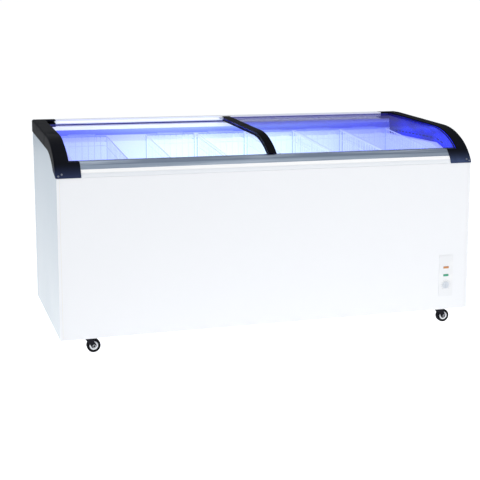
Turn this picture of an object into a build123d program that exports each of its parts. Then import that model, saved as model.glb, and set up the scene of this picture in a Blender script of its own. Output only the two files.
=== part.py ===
from build123d import *

import os
from math import acos, cos, degrees, radians, sin, tan

# Chest freezer with a curved, sliding glass top: cabinet, lids, baskets, cold unit and casters.
# Millimetres. X runs along the front, -Y is the front, +Z is up, and the floor is Z = 0.

# Overall sizes
width = 1600
depth = 700
front_height = 640  # floor to the top of the front sheet
skirt_height = 65  # floor to the lower edge of the sheets

# Arch of the end frames, from the front face to the back: three tangent arcs, then a slope
crown_slope = 3  # degrees
shoulder_angle = 30
brow_angle = 60
crown_radius = 331
shoulder_radius = 192
brow_radius = 40
arch_foot_drop = 5  # the arch ends this far below the top of the front sheet
flat_back = 60  # level stretch behind the slope
back_corner_radius = 6

# Cabinet
sheet = 1.0
trim_proud = 3  # frames stand proud of the sheets
fold_width = 10  # side sheet returned on the front
wall = 75
floor_foam = 74
pan_rise = 9  # base pan above the lower edge of the sheets
pan_sheet = 1.2
frame_width = 48.5
frame_depth = 50
frame_fillet = 7
corner_reach = 89  # foot and rear corner blocks, measured from the end
ledge_height = 60  # end ledges of the tub above the front sheet
ledge_break = 125  # where the end ledge starts to fall, behind the front wall
trim_sheet = 3.5
rim_height = 27
rim_skin = 3
rail_height = 25
rail_inset = 3  # rail and rim sit this far inside the arch
rail_reach = 20  # rail section kept behind the tub's front wall
rail_front_angle = 59
gap = 0.5  # between pieces that only face each other
overcut = 1  # cutters reach this far past a face
through = 10  # cutters of holes in sheet
snap = 0.05  # for finding edges by their place

# Glass and its tracks, as depths below the arch
glass = 4
upper_glass_depth = 8
lower_glass_depth = 20
track_margin = 0.7  # track beyond the runner, each side
track_wall = 2.5
runner_skin = 1.2
glass_front_angle = 46.5  # where the glass ends at the front
runner_front_angle = 47.5
track_front_angle = 48.3
track_start_angle = 20
glass_back_inset = 22
runner_back_inset = 20
track_back_inset = 14
runner_grip = 26
stile_width = 32
stile_thick = 6.5
lower_stile_thick = 5.8
stile_rail_gap = 1.5
stile_round = 0.35  # rounding as a share of its thickness
lid_rail_gap = 2  # stiles and seals stop this far before the rear rail
runner_drop = 1
seal_width = 5
lid_end_gap = 1.5

# Rear rail, light and upstand
rear_rail_height = 28
rear_rail_depth = 52
light_height = 14
light_depth = 12
cover_skin = 2
cover_edge = 1
light_end_gap = 4
upstand_skin = 3
upstand_ledge = 15  # shelf the basket hooks rest on
upstand_lean = 15

# Tub and machine space
tub_skin = 1.0
step_length = 332
step_height = 325  # above the skirt
machine_wall = 70
machine_height = 265  # above the skirt

# Baskets
basket_count = 6
basket_width = 208
basket_pitch = 216
basket_skin = 3
basket_side_gap = 7
basket_end_gap = 12
basket_bottom = 370  # above the skirt
basket_rear_rise = 26  # rim above the end ledge
basket_front_rise = 5  # rim above the front wall
hook_width = 46
hook_reach = 21
hook_rest = 0.4
hook_sheet = 3
handle_width = 120
handle_rise = 8

# Casters
wheel_radius = 25
wheel_width = 20
caster_inset_x = 103
caster_inset_y = 60
caster_trail = 25
caster_plate_size = 62
caster_plate_sheet = 2.5
pin_radius = 6
axle_radius = 4
running_gap = 0.05
fork_sheet = 2.5
fork_top = 66
race_gap = 0.4
fork_radius = 20
leg_gap = 1.2
leg_top = 30
leg_shift = 1
rivet_proud = 1.5
tread_round = 3
dish_outer = 0.66  # of the wheel's radius
dish_inner = 0.34
dish_depth = 2.5
collar_sheet = 3
collar_share = 1.5  # of the pin's radius
caster_plate_corner = 6

# Side vent, cable gland, base slots and drain
vent_rows = 9
vent_pitch = 20
vent_length = 360
vent_height = 9
vent_y = 30
vent_border = 24
grille_flange = 12
grille_skin = 2
grille_corner = 8
vent_end = 7
gland_inset = 110
gland_rise = 60
gland_radius = 11
gland_bore = 4
gland_length = 24
gland_flange_radius = 16
gland_flange = 2.5
gland_edge = 1
pan_slots = 8
pan_slot_pitch = 34
pan_slot_length = 220
pan_slot_width = 10
drain_inset_x = 190
drain_inset_y = 150
drain_radius = 12
drain_bore = 9
drain_lip = 1  # tub hole beyond the bore
drain_tail_radius = 11
drain_tail_length = 16
drain_end = 56
plug_rest = 0.4
plug_gap = 0.4
plug_length = 14
plug_flange_radius = 16
plug_flange = 3
plug_lug_radius = 7
plug_lug = 4
plug_taper = 1

# Evaporator tube round the tub
coil_radius = 4
coil_turns = 6
coil_pitch = 36
coil_start = 20
coil_gap = 14
coil_bend = 28
coil_end_gap = 2

# Small trim
hem = 15
underside_angle = 45  # where the end frame's underside leaves the arch for the foot
lip_depth = 5
trim_front_angle = 42
channel_skin = 1.2
screw_radius = 3.5
screw_sink = 4
screw_recess = 2
screw_clearance = 0.3
screw_offsets = ((10, 8), (22, 14))  # from the end, above the front sheet

# Cold unit in the machine space
tray_sheet = 2
tray_lip = 10
tray_length = 250
tray_depth = 210
compressor_y = -20
compressor_radius = 76
compressor_height = 168
foot_sheet = 3
foot_length = 190
foot_depth = 150
foot_corner = 18
grommet_radius = 11
grommet_height = 12
grommet_inset = 17
grommet_edge = 1.5
dome_share = 0.55  # rounding of the shell's top, of its radius
seam_share = 0.55  # height of the weld seam, of the shell's height
seam_proud = 2.5
seam_height = 8
terminal_size = (12, 30, 34)
terminal_rise = 60
stub_start = 38
stub_drop = 40
stub_length = 60
stub_pitch = 24
relay_size = (32, 56, 62)
relay_gap = 6
relay_rise = 30
relay_corner = 4
drier_radius = 10
drier_length = 110
drier_place = (30, -170)  # from the machine wall and the compressor
drier_rise = 2
drier_round = 6
condenser_length = 250
condenser_thick = 56
condenser_height = 200
condenser_y = 270
fin_count = 30
fin_sheet = 0.8
tube_rows = 5
tube_columns = 2
tube_radius = 4
fan_radius = 92
fan_shroud = 220
fan_plane_y = 215
blade_count = 5
blade_chord = 34
blade_sheet = 1.8
blade_pitch = 32
blade_root = 4  # blades start this far inside the hub
fan_offset = 4  # hub behind the shroud
shroud_corner = 10
shroud_margin = 5
shroud_sheet = 2
arm_count = 4
arm_reach = 12
arm_size = (8, 14)
arm_sheet = 3
motor_gap = 8
hub_radius = 16
hub_length = 16
motor_radius = 30
motor_length = 38
shaft_radius = 3

# Control group, from the right end and the floor
control_width = 60
control_height = 163
control_centre_inset = 97
control_centre_height = 198.5
control_sheet = 1.5
lamp_width = 22
lamp_height = 8
lamp_pitch = 31
knob_radius = 14
knob_drop = 37
knob_depth = 7
knob_edge = 1
knob_slot = (3, 20)
knob_slot_depth = 2.5
spindle_radius = 3
spindle_length = 14
sheet_cutout_gap = 1
plate_cutout_gap = 0.4
control_corner = 4
lamp_rise = 2  # lower lamp above the plate's middle
lamp_edge = 1.2
lamp_tail = 6
lamp_flange = 3
lamp_flange_sheet = 2
thermostat_size = (44, 34, 44)
thermostat_gap = 2
ear_width = 6
ear_height = 20
ear_overlap = 2

# Derived places
half_width = width / 2
half_depth = depth / 2
skin_x = half_width - trim_proud
skin_y = half_depth - trim_proud
trim_x = half_width - frame_width
end_face_x = trim_x + trim_sheet
corner_x = half_width - corner_reach
tub_x = half_width - wall
tub_y = half_depth - wall
pan_bottom = skirt_height + pan_rise
pan_top = pan_bottom + pan_sheet
tub_floor = pan_top + floor_foam
wall_top = front_height + rim_height
ledge_z = front_height + ledge_height
rail_top = wall_top + rail_height
lid_end_x = trim_x - lid_end_gap
step_x = tub_x - step_length
step_z = skirt_height + step_height
machine_x = step_x + machine_wall
machine_top = skirt_height + machine_height
foam_x = skin_x - sheet
foam_y = skin_y - sheet
basket_floor = skirt_height + basket_bottom
vent_block = (vent_rows - 1) * vent_pitch + vent_border
vent_middle_z = (pan_top + machine_top) / 2
gland_x = half_width - gland_inset
gland_z = skirt_height + gland_rise
drain_x = -half_width + drain_inset_x
drain_y = -half_depth + drain_inset_y

# Centres of the arch's three arcs, as (y, z)
brow_centre = (-half_depth + brow_radius, front_height - arch_foot_drop)


def on_arc(centre, radius, angle):
    """Point on an arc of the arch where it slopes down by angle."""
    turn = radians(angle)
    return (centre[0] - radius * sin(turn), centre[1] + radius * cos(turn))


def behind(centre, radius, next_radius, angle):
    """Centre of the next arc back, tangent at angle."""
    turn = radians(angle)
    reach = next_radius - radius
    return (centre[0] + reach * sin(turn), centre[1] - reach * cos(turn))


shoulder_centre = behind(brow_centre, brow_radius, shoulder_radius, brow_angle)
crown_centre = behind(shoulder_centre, shoulder_radius, crown_radius, shoulder_angle)
slope_start = on_arc(crown_centre, crown_radius, crown_slope)
flat_y = half_depth - flat_back
height = slope_start[1] + (flat_y - slope_start[0]) * tan(radians(crown_slope))
rear_rail_bottom = height - rear_rail_height
rear_rail_y = half_depth - rear_rail_depth


def slope_point(y, below):
    """Point on the sloping stretch at y, a depth below the arch."""
    slope = radians(crown_slope)
    rise = (y - slope_start[0]) * tan(slope)
    return (y, slope_start[1] + rise - below / cos(slope))


def shoulder_angle_at(below, z):
    """Slope of the shoulder arc, a depth below the arch, where it passes height z."""
    return degrees(acos((z - shoulder_centre[1]) / (shoulder_radius - below)))


def arch_run(below, back_y, front_angle):
    """Edges of the arch at a depth below its top, from back_y to the slope front_angle."""
    arcs = (
        (crown_centre, crown_radius, crown_slope, shoulder_angle),
        (shoulder_centre, shoulder_radius, shoulder_angle, brow_angle),
        (brow_centre, brow_radius, brow_angle, 90),
    )
    last = on_arc(crown_centre, crown_radius - below, crown_slope)
    Line(slope_point(back_y, below), last)
    for centre, radius, start, stop in arcs:
        if front_angle > start:
            stop = min(stop, front_angle)
            middle = on_arc(centre, radius - below, (start + stop) / 2)
            end = on_arc(centre, radius - below, stop)
            ThreePointArc(last, middle, end)
            last = end
    return last


def arch_band(top, bottom, back_y, front_angle):
    """Face between two depths of the arch."""
    with BuildLine() as outline:
        outer_end = arch_run(top, back_y, front_angle)
        inner_end = arch_run(bottom, back_y, front_angle)
        Line(outer_end, inner_end)
        Line(slope_point(back_y, top), slope_point(back_y, bottom))
    make_face(outline.edges())


def front_band(top, bottom, start, stop, mode=Mode.ADD):
    """Face between two depths and two slopes of the shoulder arc."""
    radii = (shoulder_radius - top, shoulder_radius - bottom)
    ends = []
    with BuildLine() as outline:
        for radius in radii:
            spots = [on_arc(shoulder_centre, radius, angle)
                     for angle in (start, (start + stop) / 2, stop)]
            ThreePointArc(*spots)
            ends.append((spots[0], spots[-1]))
        Line(ends[0][0], ends[1][0])
        Line(ends[0][1], ends[1][1])
    make_face(outline.edges(), mode=mode)


def back_band(top, bottom, front_y, back_y, mode=Mode.ADD):
    """Face between two depths of the slope."""
    polygon(slope_point(front_y, top), slope_point(back_y, top),
            slope_point(back_y, bottom), slope_point(front_y, bottom), mode=mode)


def polygon(*points, mode=Mode.ADD):
    """Closed face through points."""
    with BuildLine() as outline:
        Polyline(*points, close=True)
    make_face(outline.edges(), mode=mode)


def front_bar(inset, low, high, back_y):
    """Face of a bar along the front: under the arch, between two heights."""
    heel_y = slope_start[0] + through
    with BuildLine() as outline:
        toe = arch_run(inset, heel_y, 90)
        heel = slope_point(heel_y, inset)
        Polyline(toe, (toe[0], skirt_height), (heel[0], skirt_height), heel)
    make_face(outline.edges())
    with Locations((-half_depth, low)):
        Rectangle(back_y + half_depth, high - low, align=(Align.MIN, Align.MIN),
                  mode=Mode.INTERSECT)


def side_plane(x):
    """Plane across the freezer at x: its first axis is Y, its second Z."""
    return Plane.YZ.offset(x)


def facing_front(x, y, z):
    """Plane facing the front at a point, its second axis up."""
    return Plane((x, y, z), x_dir=(1, 0, 0), z_dir=(0, -1, 0))


def box_at(low, high, mode=Mode.ADD):
    """Box between two corners."""
    size = [b - a for a, b in zip(low, high)]
    middle = [(a + b) / 2 for a, b in zip(low, high)]
    with Locations(tuple(middle)):
        Box(*size, mode=mode)


os.makedirs("parts", exist_ok=True)


def save(part, label):
    """Label a finished piece and write its STEP file."""
    part.label = label
    export_step(part, f"parts/{label}.step")


def mirrored(part):
    """The same piece for the other end."""
    return mirror(part, about=Plane.YZ)


# Control group, shared by the front sheet, the plate and what sits in them
control_x = half_width - control_centre_inset
low_lamp = control_centre_height + lamp_rise
lamp_heights = (low_lamp + lamp_pitch, low_lamp)
knob_z = control_centre_height - knob_drop


def control_cutouts(margin):
    """Holes for the lamps and the dial, a margin larger than they are."""
    for z in lamp_heights:
        with Locations((control_x, z)):
            Rectangle(lamp_width + 2 * margin, lamp_height + 2 * margin, mode=Mode.SUBTRACT)
    with Locations((control_x, knob_z)):
        Circle(knob_radius + margin, mode=Mode.SUBTRACT)


# Cabinet skin

front_end = skin_x - fold_width - gap

with BuildPart() as front_panel:
    with BuildSketch(Plane.XZ.offset(skin_y - sheet)):
        with Locations((0, skirt_height)):
            Rectangle(2 * front_end, front_height - gap - skirt_height,
                      align=(Align.CENTER, Align.MIN))
        control_cutouts(sheet_cutout_gap)
    extrude(amount=sheet)
    for z in (skirt_height, front_height - gap - sheet):
        box_at((-front_end, -skin_y, z), (front_end, -skin_y + hem, z + sheet))
save(front_panel.part, "front_panel")


def under_arch(y_reach, low, margin):
    """Face of an end wall: below the end frame, a margin under it."""
    with BuildLine() as outline:
        end = arch_run(frame_depth + margin, y_reach, underside_angle)
        toe = (-y_reach, front_height - margin)
        Polyline(end, toe, (-y_reach, low), (y_reach, low),
                 slope_point(y_reach, frame_depth + margin))
    make_face(outline.edges())


back_fold_top = slope_point(skin_y - hem, frame_depth + gap)[1]

with BuildPart() as side_panel:
    with BuildSketch(side_plane(-skin_x)):
        under_arch(skin_y, skirt_height, gap)
    extrude(amount=sheet)
    box_at((-skin_x, -skin_y, skirt_height),
           (-skin_x + fold_width, -skin_y + sheet, front_height - gap))
    box_at((-skin_x, skin_y - sheet, skirt_height), (-skin_x + fold_width, skin_y, back_fold_top))
    box_at((-skin_x, -skin_y + hem + gap, skirt_height),
           (-skin_x + hem, skin_y - hem - gap, skirt_height + sheet))
save(side_panel.part, "left_side_panel")

with BuildPart() as right_side_panel:
    add(mirrored(side_panel.part))
    box_at((skin_x - sheet - overcut, vent_y - vent_length / 2, vent_middle_z - vent_block / 2),
           (skin_x + overcut, vent_y + vent_length / 2, vent_middle_z + vent_block / 2),
           mode=Mode.SUBTRACT)
save(right_side_panel.part, "right_side_panel")

with BuildPart() as side_grille:
    with BuildSketch(side_plane(skin_x)):
        with Locations((vent_y, vent_middle_z)):
            RectangleRounded(vent_length + 2 * grille_flange, vent_block + 2 * grille_flange,
                             grille_corner)
    extrude(amount=grille_skin)
    box_at((skin_x - sheet, vent_y - vent_length / 2 + gap, vent_middle_z - vent_block / 2 + gap),
           (skin_x, vent_y + vent_length / 2 - gap, vent_middle_z + vent_block / 2 - gap))
    with BuildSketch(side_plane(skin_x - sheet - overcut)):
        with Locations((vent_y, vent_middle_z)):
            with GridLocations(0, vent_pitch, 1, vent_rows):
                SlotOverall(vent_length - 2 * vent_end, vent_height)
    extrude(amount=sheet + grille_skin + 2 * overcut, mode=Mode.SUBTRACT)
save(side_grille.part, "side_grille")

back_plane = Plane((gland_x, skin_y, gland_z), x_dir=(-1, 0, 0), z_dir=(0, 1, 0))

with BuildPart() as back_panel:
    box_at((-front_end, skin_y - sheet, skirt_height), (front_end, skin_y, back_fold_top))
    box_at((gap - end_face_x, skin_y - sheet, skirt_height),
           (end_face_x - gap, skin_y, rear_rail_bottom - gap))
    box_at((-front_end, skin_y - hem, skirt_height), (front_end, skin_y, skirt_height + sheet))
    with BuildSketch(back_plane.offset(-2 * sheet)):
        Circle(gland_radius + gap)
    extrude(amount=4 * sheet, mode=Mode.SUBTRACT)
save(back_panel.part, "back_panel")

with BuildPart() as cable_gland:
    with BuildSketch(back_plane.offset(-gland_length)):
        Circle(gland_radius)
    extrude(amount=gland_length)
    with BuildSketch(back_plane):
        Circle(gland_flange_radius)
    extrude(amount=gland_flange)
    fillet(cable_gland.faces().sort_by(Axis.Y)[-1].edges(), gland_edge)
    with BuildSketch(back_plane.offset(-gland_length)):
        Circle(gland_bore)
    extrude(amount=gland_length + gland_flange, mode=Mode.SUBTRACT)
save(cable_gland.part, "cable_gland")

pan_x = foam_x - gap
pan_y = foam_y - gap

with BuildPart() as base_pan:
    box_at((-pan_x, -pan_y, pan_bottom), (pan_x, pan_y, pan_top))
    with Locations((drain_x, drain_y, pan_bottom)):
        Cylinder(drain_radius + gap, through, mode=Mode.SUBTRACT)
    with BuildSketch(Plane.XY.offset(pan_bottom - overcut)):
        with Locations(((machine_x + foam_x) / 2, 0)):
            with GridLocations(pan_slot_pitch, 0, pan_slots, 1):
                SlotOverall(pan_slot_length, pan_slot_width, rotation=90)
    extrude(amount=pan_sheet + 2 * overcut, mode=Mode.SUBTRACT)
save(base_pan.part, "base_pan")

# Foam and tub

shelf_y = tub_y + tub_skin + upstand_ledge
upstand_top_y = shelf_y + upstand_lean


def rim_line(drop):
    """Points of the tub's rim, front to back, lowered by drop."""
    return (
        (-tub_y - tub_skin, wall_top - rim_skin - drop),
        (-tub_y + ledge_break, ledge_z - drop),
        (tub_y + tub_skin, ledge_z - drop),
    )


def tub_outline(skin):
    """Long section of the tub with its step, grown by skin, open at the top."""
    polygon(
        (-tub_x - skin, tub_floor - skin), (step_x - skin, tub_floor - skin),
        (step_x - skin, step_z - skin), (tub_x + skin, step_z - skin),
        (tub_x + skin, height), (-tub_x - skin, height),
    )


foam_shoulder = front_height - sheet - 2 * gap
hem_y = -skin_y + hem + 2 * gap

with BuildPart() as insulation:
    for start in (-foam_x, end_face_x):
        with BuildSketch(side_plane(start)):
            under_arch(foam_y, pan_top, 2 * gap)
        extrude(amount=foam_x - end_face_x)
    with BuildSketch(side_plane(-end_face_x)):
        polygon(
            (-foam_y, pan_top), (-foam_y, foam_shoulder),
            (hem_y, foam_shoulder), (hem_y, wall_top - rim_skin - gap),
            *rim_line(tub_skin + gap),
            (shelf_y + upstand_skin, ledge_z - tub_skin - gap),
            (upstand_top_y + upstand_skin + gap, rear_rail_bottom - gap),
            (foam_y, rear_rail_bottom - gap), (foam_y, pan_top),
        )
    extrude(amount=2 * end_face_x)
    with BuildSketch(Plane.XZ.offset(-tub_y - tub_skin)):
        tub_outline(tub_skin)
    extrude(amount=2 * (tub_y + tub_skin), mode=Mode.SUBTRACT)
    box_at((machine_x, -foam_y - overcut, pan_top - overcut),
           (foam_x + overcut, foam_y + overcut, machine_top), mode=Mode.SUBTRACT)
    box_at((-foam_x - overcut, -foam_y - overcut, foam_shoulder),
           (foam_x + overcut, hem_y, front_height), mode=Mode.SUBTRACT)
    for side in (-1, 1):
        foot_x = sorted((side * (corner_x - gap), side * end_face_x))
        box_at((foot_x[0], -foam_y - overcut, foam_shoulder), (foot_x[1], -tub_y, wall_top),
               mode=Mode.SUBTRACT)
    with Locations((drain_x, drain_y, (pan_top + tub_floor) / 2)):
        Cylinder(drain_radius + gap, floor_foam + through, mode=Mode.SUBTRACT)
save(insulation.part, "insulation")

with BuildPart() as liner:
    for skin, mode in ((tub_skin, Mode.ADD), (0, Mode.SUBTRACT)):
        with BuildSketch(Plane.XZ.offset(-tub_y - skin)):
            tub_outline(skin)
        extrude(amount=2 * (tub_y + skin), mode=mode)
    with BuildSketch(side_plane(-half_width)):
        polygon((-half_depth, wall_top - rim_skin), *rim_line(0), (half_depth, ledge_z),
                (half_depth, height + through), (-half_depth, height + through))
    extrude(amount=width, mode=Mode.SUBTRACT)
    for start in (-trim_x, tub_x):
        with BuildSketch(side_plane(start)):
            polygon(*rim_line(tub_skin), *reversed(rim_line(0)))
        extrude(amount=trim_x - tub_x)
    with Locations((drain_x, drain_y, tub_floor)):
        Cylinder(drain_bore + drain_lip, through, mode=Mode.SUBTRACT)
save(liner.part, "liner")

coil_x = tub_x + tub_skin + coil_gap
coil_y = tub_y + tub_skin + coil_gap

with BuildPart() as evaporator_coil:
    for turn in range(coil_turns):
        level = step_z + coil_start + turn * coil_pitch
        with BuildLine(Plane.XY.offset(level)) as loop:
            FilletPolyline((0, -coil_y), (coil_x, -coil_y), (coil_x, coil_y),
                           (-coil_x, coil_y), (-coil_x, -coil_y), (-coil_end_gap, -coil_y),
                           radius=coil_bend)
        with BuildSketch(Plane((0, -coil_y, level), x_dir=(0, 1, 0), z_dir=(1, 0, 0))):
            Circle(coil_radius)
        sweep(path=loop.wires()[0])
save(evaporator_coil.part, "evaporator_coil")

with BuildPart() as drain_spout:
    spout_top = tub_floor - tub_skin
    tail_top = drain_end + drain_tail_length
    with BuildSketch(Plane.XY.offset(tail_top)):
        Circle(drain_radius)
    extrude(amount=spout_top - tail_top)
    with BuildSketch(Plane.XY.offset(drain_end)):
        Circle(drain_tail_radius)
    extrude(amount=drain_tail_length)
    with BuildSketch(Plane.XY.offset(drain_end)):
        Circle(drain_bore)
    extrude(amount=tub_floor, mode=Mode.SUBTRACT)
save(Pos(drain_x, drain_y, 0) * drain_spout.part, "drain_spout")

with BuildPart() as drain_plug:
    with BuildSketch(Plane.XY.offset(tub_floor + plug_rest)):
        Circle(plug_flange_radius)
    extrude(amount=plug_flange)
    with BuildSketch(Plane.XY.offset(tub_floor + plug_rest)):
        Circle(drain_bore - plug_gap)
    extrude(amount=-plug_length, taper=plug_taper)
    with BuildSketch(Plane.XZ.offset(-plug_lug / 2)):
        with Locations((0, tub_floor + plug_rest + plug_flange)):
            Circle(plug_lug_radius)
    extrude(amount=plug_lug)
save(Pos(drain_x, drain_y, 0) * drain_plug.part, "drain_plug")

# Rim, rails and end frames

rail_end_x = corner_x - gap
track_depths = [
    (depth_of - runner_skin - track_margin, depth_of + glass + runner_skin + track_margin)
    for depth_of in (upper_glass_depth, lower_glass_depth)
]
rail_inner_depth = track_depths[1][1] + track_wall
rail_inner_y = on_arc(shoulder_centre, shoulder_radius - rail_inner_depth,
                      shoulder_angle_at(rail_inner_depth, rail_top))[0]


def cut_front_tracks():
    """Both glass channels, cut from a bar along the front."""
    for top, bottom in track_depths:
        front_band(top, bottom, track_start_angle, track_front_angle, mode=Mode.SUBTRACT)


def cut_rear_tracks():
    """Both glass channels, cut from a bar along the back."""
    for top, bottom in track_depths:
        back_band(top, bottom, rear_rail_y - through, half_depth - track_back_inset,
                  mode=Mode.SUBTRACT)


def rail_section(inset):
    """Section of a bar along the front that holds both tracks."""
    front_bar(inset, wall_top, rail_top, -tub_y + rail_reach)
    front_band(inset - overcut, rail_inner_depth, track_start_angle, rail_front_angle,
               mode=Mode.INTERSECT)
    cut_front_tracks()


def rear_rail_section():
    """Section of the rear rail with both tracks."""
    with Locations((rear_rail_y, rear_rail_bottom)):
        Rectangle(rear_rail_depth, rear_rail_height, align=(Align.MIN, Align.MIN))
    cut_rear_tracks()


with BuildPart() as front_rim:
    with BuildSketch(side_plane(-rail_end_x)):
        front_bar(rail_inset, front_height, wall_top, -tub_y - tub_skin)
    extrude(amount=2 * rail_end_x)
    with BuildSketch(side_plane(-rail_end_x)):
        front_bar(rail_inset + rim_skin, front_height - overcut, wall_top - rim_skin, -tub_y)
    extrude(amount=2 * rail_end_x, mode=Mode.SUBTRACT)
save(front_rim.part, "front_rim")

with BuildPart() as front_rail:
    with BuildSketch(side_plane(-rail_end_x)):
        rail_section(rail_inset)
    extrude(amount=2 * rail_end_x)
save(front_rail.part, "front_rail")


def back_top_edges(part):
    """Upper edges along the back."""
    level = part.edges().filter_by(Axis.X).filter_by_position(Axis.Z, height - snap, height + snap)
    return level.filter_by_position(Axis.Y, half_depth - snap, half_depth + snap)


def edges_at_depth(shape, below):
    """Edges that follow the arch at a depth below its top."""
    radii = [radius - below for radius in (crown_radius, shoulder_radius, brow_radius)]

    def follows(edge):
        if edge.geom_type == GeomType.CIRCLE:
            return any(abs(edge.radius - radius) < snap for radius in radii)
        middle = edge.center()
        sloped = abs(middle.Z - slope_point(middle.Y, below)[1]) < snap
        level = below == 0 and abs(middle.Z - height) < snap
        return (sloped or level) and edge.bounding_box().size.Y > 1

    return shape.edges().filter_by(follows)


with BuildPart() as rear_rail:
    with BuildSketch(side_plane(-rail_end_x)):
        rear_rail_section()
    extrude(amount=2 * rail_end_x)
    fillet(back_top_edges(rear_rail), back_corner_radius)
save(rear_rail.part, "rear_rail")

with BuildPart() as rear_upstand:
    with BuildSketch(side_plane(-end_face_x)):
        polygon((tub_y + tub_skin, ledge_z), (shelf_y, ledge_z),
                (upstand_top_y, rear_rail_bottom - gap),
                (upstand_top_y + upstand_skin, rear_rail_bottom - gap),
                (shelf_y + upstand_skin, ledge_z - tub_skin), (tub_y + tub_skin, ledge_z - tub_skin))
    extrude(amount=2 * end_face_x)
save(rear_upstand.part, "rear_upstand")

light_top = rear_rail_bottom - gap
light_low = light_top - light_height
light_back = shelf_y + upstand_lean * (light_low - ledge_z) / (rear_rail_bottom - ledge_z) - gap
light_front = light_back - light_depth
light_x = trim_x - light_end_gap

with BuildPart() as light_channel:
    with BuildSketch(side_plane(-light_x)):
        with Locations((light_front + cover_skin, light_low)):
            Rectangle(light_depth - cover_skin, light_height, align=(Align.MIN, Align.MIN))
        with Locations((light_front, light_low + channel_skin)):
            Rectangle(light_depth - channel_skin, light_height - 2 * channel_skin,
                      align=(Align.MIN, Align.MIN), mode=Mode.SUBTRACT)
    extrude(amount=2 * light_x)
save(light_channel.part, "light_channel")

with BuildPart() as light_cover:
    box_at((-light_x, light_front, light_low), (light_x, light_front + cover_skin, light_top))
    fillet(light_cover.faces().sort_by(Axis.Y)[0].edges().filter_by(Axis.X), cover_edge)
save(light_cover.part, "light_cover")

screw_places = [(-half_width + x, front_height + z) for x, z in screw_offsets]

with BuildPart() as end_frame:
    with BuildSketch(side_plane(-half_width)):
        with BuildLine() as outline:
            foot_angle = degrees(acos(arch_foot_drop / brow_radius))
            toe = arch_run(0, flat_y, foot_angle)
            heel = arch_run(frame_depth, half_depth, underside_angle)
            Line(toe, heel)
            Polyline(slope_point(flat_y, 0), (half_depth, height),
                     slope_point(half_depth, frame_depth))
        make_face(outline.edges())
    extrude(amount=half_width - end_face_x)
    with BuildSketch(side_plane(-end_face_x)):
        arch_band(0, lip_depth, flat_y, brow_angle)
        back_band(0, lip_depth, flat_y, half_depth)
        with Locations((flat_y, height)):
            Rectangle(flat_back, frame_depth, align=(Align.MIN, Align.MIN), mode=Mode.SUBTRACT)
    extrude(amount=trim_sheet)
    with BuildSketch(side_plane(-end_face_x)):
        front_bar(0, front_height, wall_top, -tub_y - tub_skin)
    extrude(amount=end_face_x - corner_x)
    with BuildSketch(side_plane(-end_face_x)):
        rail_section(0)
    extrude(amount=end_face_x - corner_x)
    with BuildSketch(side_plane(-end_face_x)):
        rear_rail_section()
    extrude(amount=end_face_x - corner_x)
    for x, z in screw_places:
        with BuildSketch(facing_front(x, -half_depth + screw_sink, z)):
            Circle(screw_radius + screw_clearance)
        extrude(amount=screw_sink + through, mode=Mode.SUBTRACT)
    fillet(back_top_edges(end_frame), back_corner_radius)
    outer_face = end_frame.faces().filter_by(Axis.X).sort_by(Axis.X)[0]
    fillet(edges_at_depth(outer_face, 0), frame_fillet)
save(end_frame.part, "left_end_frame")
save(mirrored(end_frame.part), "right_end_frame")

with BuildPart() as frame_screws:
    for side in (-1, 1):
        for x, z in screw_places:
            with BuildSketch(facing_front(side * x, -half_depth + screw_sink, z)):
                Circle(screw_radius)
            extrude(amount=screw_sink - screw_recess)
save(frame_screws.part, "frame_screws")

with BuildPart() as end_trim:
    with BuildSketch(side_plane(-end_face_x)):
        with BuildLine() as outline:
            end = arch_run(lip_depth + gap, rear_rail_y - gap, trim_front_angle)
            Polyline(
                slope_point(rear_rail_y - gap, lip_depth + gap),
                (rear_rail_y - gap, rear_rail_bottom - gap),
                (shelf_y - gap, ledge_z + gap),
                (-tub_y + ledge_break, ledge_z + gap),
                (-tub_y - gap, wall_top - rim_skin + gap),
                (-tub_y - gap, wall_top + gap),
                (rail_inner_y + gap, rail_top + gap),
                (end[0], rail_top + gap), end,
            )
        make_face(outline.edges())
    extrude(amount=trim_sheet - gap)
save(end_trim.part, "left_end_trim")
save(mirrored(end_trim.part), "right_end_trim")

# Lids


def lid_span(side):
    """Lowest and highest x of a lid; side is 1 for the right one."""
    if side > 0:
        return (-stile_width / 2, lid_end_x)
    return (-lid_end_x, stile_width / 2)


def make_lid(name, side, below, stile_height):
    """One sliding lid: curved glass, its stile, runners and end seal."""
    low_x, high_x = lid_span(side)
    deep = below + glass
    runner_start = shoulder_angle_at(below, rail_top - runner_drop)
    runner_back = half_depth - runner_back_inset
    grip_y = runner_back - runner_grip
    glass_back = half_depth - glass_back_inset

    with BuildPart() as pane:
        with BuildSketch(side_plane(low_x)):
            arch_band(below, deep, glass_back, glass_front_angle)
        extrude(amount=high_x - low_x)
    save(pane.part, f"{name}_glass")

    with BuildPart() as runners:
        with BuildSketch(side_plane(low_x)):
            front_band(below - runner_skin, deep + runner_skin, runner_start, runner_front_angle)
            back_band(below - runner_skin, deep + runner_skin, grip_y, runner_back)
            front_band(below, deep, runner_start - overcut, glass_front_angle,
                       mode=Mode.SUBTRACT)
            back_band(below, deep, grip_y - overcut, glass_back, mode=Mode.SUBTRACT)
        extrude(amount=high_x - low_x)
    save(runners.part, f"{name}_runners")

    stile_top = below - stile_height
    stile_low_x = low_x if side > 0 else high_x - stile_width
    stile_front = shoulder_angle_at(below, rail_top + stile_rail_gap)
    with BuildPart() as stile:
        with BuildSketch(side_plane(stile_low_x)):
            arch_band(stile_top, below, rear_rail_y - lid_rail_gap, stile_front)
        extrude(amount=stile_width)
        fillet(edges_at_depth(stile, stile_top), stile_height * stile_round)
    save(stile.part, f"{name}_stile")

    seal_low_x = high_x - seal_width if side > 0 else low_x
    with BuildPart() as seal:
        with BuildSketch(side_plane(seal_low_x)):
            arch_band(below - runner_skin, below, rear_rail_y - lid_rail_gap, runner_start - overcut)
        extrude(amount=seal_width)
    save(seal.part, f"{name}_seal")


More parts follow.
